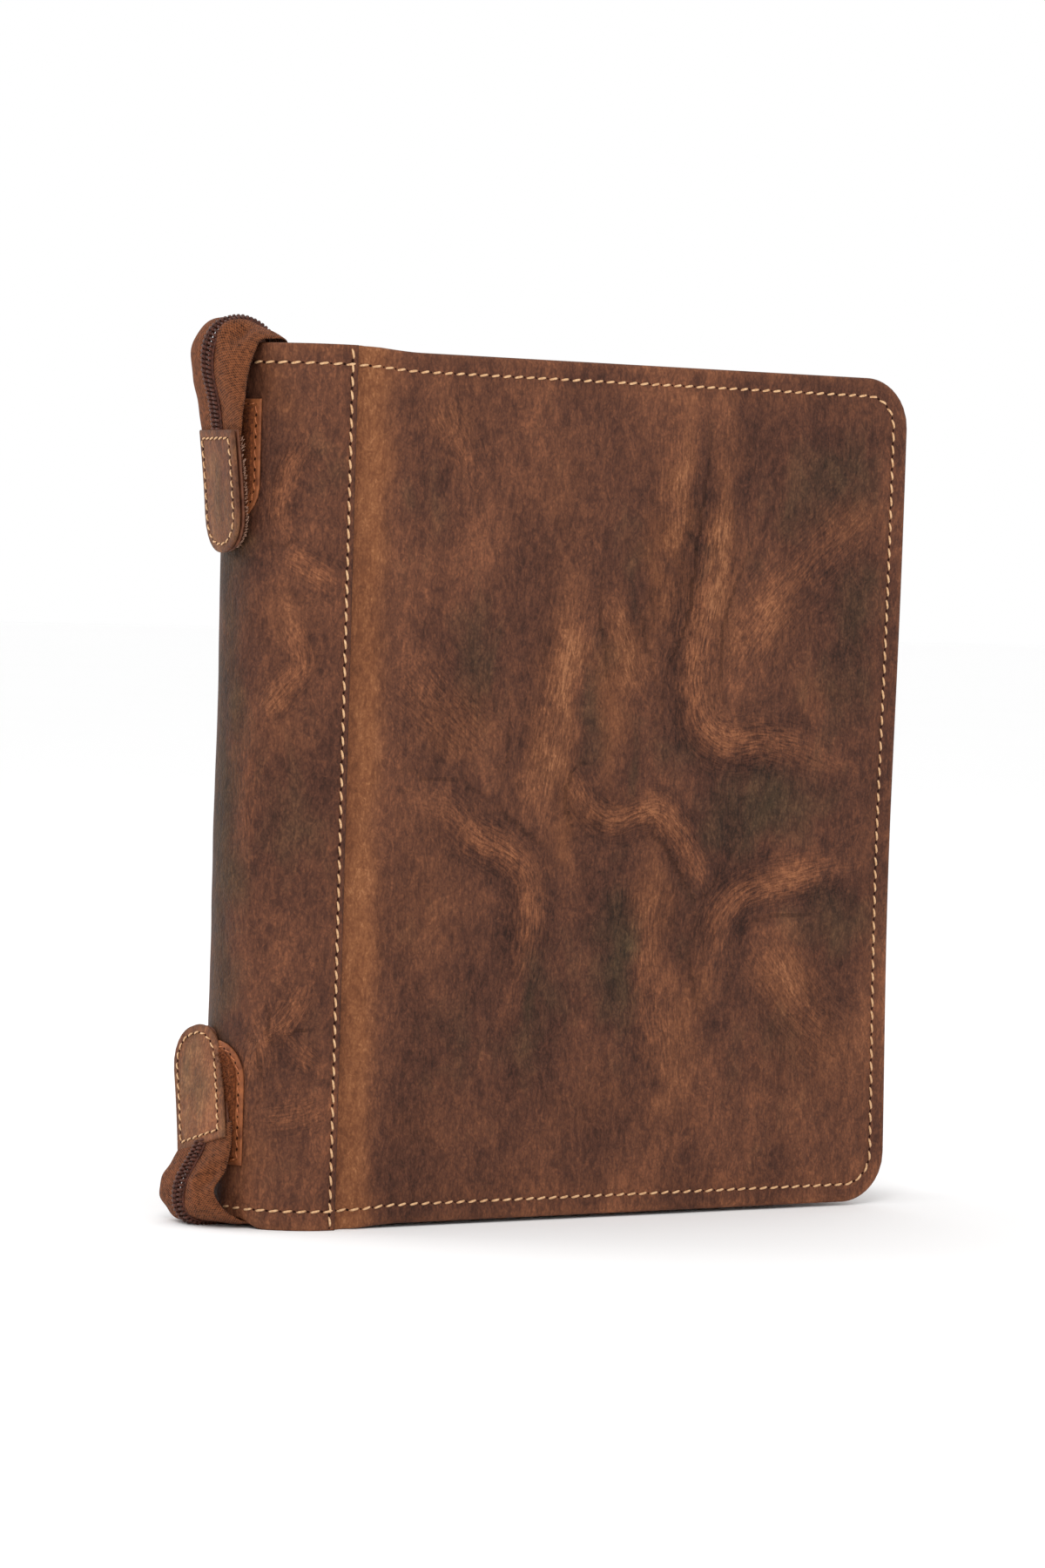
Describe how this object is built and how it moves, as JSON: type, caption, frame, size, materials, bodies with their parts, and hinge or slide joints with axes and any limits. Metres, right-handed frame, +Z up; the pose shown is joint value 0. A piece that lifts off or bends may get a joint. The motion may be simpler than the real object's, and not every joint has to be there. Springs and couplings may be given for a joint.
{
  "type": "zip-around bible case",
  "caption": "Zip-around leather case holding a Bible: hinged leather covers, rounded spine, sewn edges, zip tails folded to hook-and-loop tabs on the spine.",
  "frame": {"origin": "centre of the object's footprint, on the surface that it stands on", "axes": "+Z up along the spine, +X from the spine to the fore-edge, +Y from the front cover to the back cover"},
  "size_m": [0.222, 0.05, 0.252],
  "materials": {
    "bible_cover": "grained",
    "board": "plain",
    "cover_leather": "oiled, creased",
    "hook_tape": "hooked",
    "lining": "woven",
    "loop_tape": "looped pile",
    "mull_cloth": "open weave",
    "pad_leather": "smooth",
    "page_paper": "matt",
    "slider_metal": "aged",
    "spine_leather": "oiled, creased",
    "tab_leather": "oiled",
    "thread": "waxed",
    "zip_chain": "satin",
    "zip_tape": "woven"
  },
  "bodies": {
    "spine": {"spine_leather": "spine_leather", "spine_lining": "lining", "lower_spine_thread": "thread", "upper_spine_thread": "thread", "front_seam_thread": "thread", "back_seam_thread": "thread", "bible_spine": "bible_cover", "bible_mull": "mull_cloth", "page_section_6": "page_paper", "upper_anchor": "tab_leather", "lower_anchor": "tab_leather", "upper_tail_tape_front": "zip_tape", "upper_tail_tape_back": "zip_tape", "upper_tail_chain": "zip_chain", "lower_tail_tape_front": "zip_tape", "lower_tail_tape_back": "zip_tape", "lower_tail_chain": "zip_chain", "upper_pad_leather": "pad_leather", "upper_pad_loop": "loop_tape", "lower_pad_leather": "pad_leather", "lower_pad_loop": "loop_tape"},
    "front_cover": {"front_leather": "cover_leather", "front_board": "board", "front_lining": "lining", "front_sleeve": "lining", "front_bible_board": "bible_cover", "front_zip_tape": "zip_tape", "front_zip_chain": "zip_chain", "front_cover_thread": "thread"},
    "back_cover": {"back_leather": "cover_leather", "back_board": "board", "back_lining": "lining", "back_sleeve": "lining", "back_bible_board": "bible_cover", "back_zip_tape": "zip_tape", "back_zip_chain": "zip_chain", "back_cover_thread": "thread"},
    "pages_1": {"page_section_1": "page_paper"},
    "pages_2": {"page_section_2": "page_paper"},
    "pages_3": {"page_section_3": "page_paper"},
    "pages_4": {"page_section_4": "page_paper"},
    "pages_5": {"page_section_5": "page_paper"},
    "upper_tab": {"upper_tab_leather": "tab_leather", "upper_tab_backing": "tab_leather", "upper_tab_hook": "hook_tape", "upper_tab_tape": "zip_tape", "upper_tab_thread": "thread"},
    "lower_tab": {"lower_tab_leather": "tab_leather", "lower_tab_backing": "tab_leather", "lower_tab_hook": "hook_tape", "lower_tab_tape": "zip_tape", "lower_tab_thread": "thread"},
    "left_slider": {"left_slider": "slider_metal"},
    "left_pull": {"left_pull": "tab_leather"},
    "right_slider": {"right_slider": "slider_metal"},
    "right_pull": {"right_pull": "tab_leather"}
  },
  "joints": [
    {"name": "front_cover_hinge", "type": "hinge", "parent": "spine", "child": "front_cover", "pos_m": [-0.073, -0.02395, 0.1225], "axis": [0, 0, -1], "range_deg": [0, 135]},
    {"name": "back_cover_hinge", "type": "hinge", "parent": "spine", "child": "back_cover", "pos_m": [-0.073, 0.02395, 0.1225], "axis": [0, 0, 1], "range_deg": [0, 135]},
    {"name": "pages_1_turn", "type": "hinge", "parent": "spine", "child": "pages_1", "pos_m": [-0.076, -0.0135, 0.1225], "axis": [0, 0, -1], "range_deg": [0, 20.93]},
    {"name": "pages_2_turn", "type": "hinge", "parent": "spine", "child": "pages_2", "pos_m": [-0.076, -0.0081, 0.1225], "axis": [0, 0, -1], "range_deg": [0, 16.74]},
    {"name": "pages_3_turn", "type": "hinge", "parent": "spine", "child": "pages_3", "pos_m": [-0.076, -0.0027, 0.1225], "axis": [0, 0, -1], "range_deg": [0, 12.55]},
    {"name": "pages_4_turn", "type": "hinge", "parent": "spine", "child": "pages_4", "pos_m": [-0.076, 0.0027, 0.1225], "axis": [0, 0, -1], "range_deg": [0, 8.37]},
    {"name": "pages_5_turn", "type": "hinge", "parent": "spine", "child": "pages_5", "pos_m": [-0.076, 0.0081, 0.1225], "axis": [0, 0, -1], "range_deg": [0, 4.18]},
    {"name": "upper_tab_hinge", "type": "hinge", "parent": "spine", "child": "upper_tab", "pos_m": [-0.10375, 0, 0.2235], "axis": [0, 1, 0], "range_deg": [0, 90]},
    {"name": "lower_tab_hinge", "type": "hinge", "parent": "spine", "child": "lower_tab", "pos_m": [-0.10375, 0, 0.01977], "axis": [0, -1, 0], "range_deg": [0, 75]},
    {"name": "left_slider_travel", "type": "slide", "parent": "back_cover", "child": "left_slider", "axis": [-1, 0, 0], "range_m": [0, 0.038]},
    {"name": "left_pull_hinge", "type": "hinge", "parent": "left_slider", "child": "left_pull", "pos_m": [0.00375, 0, 0.2421], "axis": [0, 1, 0], "range_deg": [0, 100]},
    {"name": "right_slider_travel", "type": "slide", "parent": "back_cover", "child": "right_slider", "axis": [1, 0, 0], "range_m": [0, 0.038]},
    {"name": "right_pull_hinge", "type": "hinge", "parent": "right_slider", "child": "right_pull", "pos_m": [0.01625, 0, 0.2421], "axis": [0, -1, 0], "range_deg": [0, 100]}
  ],
  "couplings": [
    {"joint": "pages_1_turn", "follows": "front_cover_hinge", "ratio": 0.155},
    {"joint": "pages_2_turn", "follows": "front_cover_hinge", "ratio": 0.124},
    {"joint": "pages_3_turn", "follows": "front_cover_hinge", "ratio": 0.093},
    {"joint": "pages_4_turn", "follows": "front_cover_hinge", "ratio": 0.062},
    {"joint": "pages_5_turn", "follows": "front_cover_hinge", "ratio": 0.031}
  ]
}
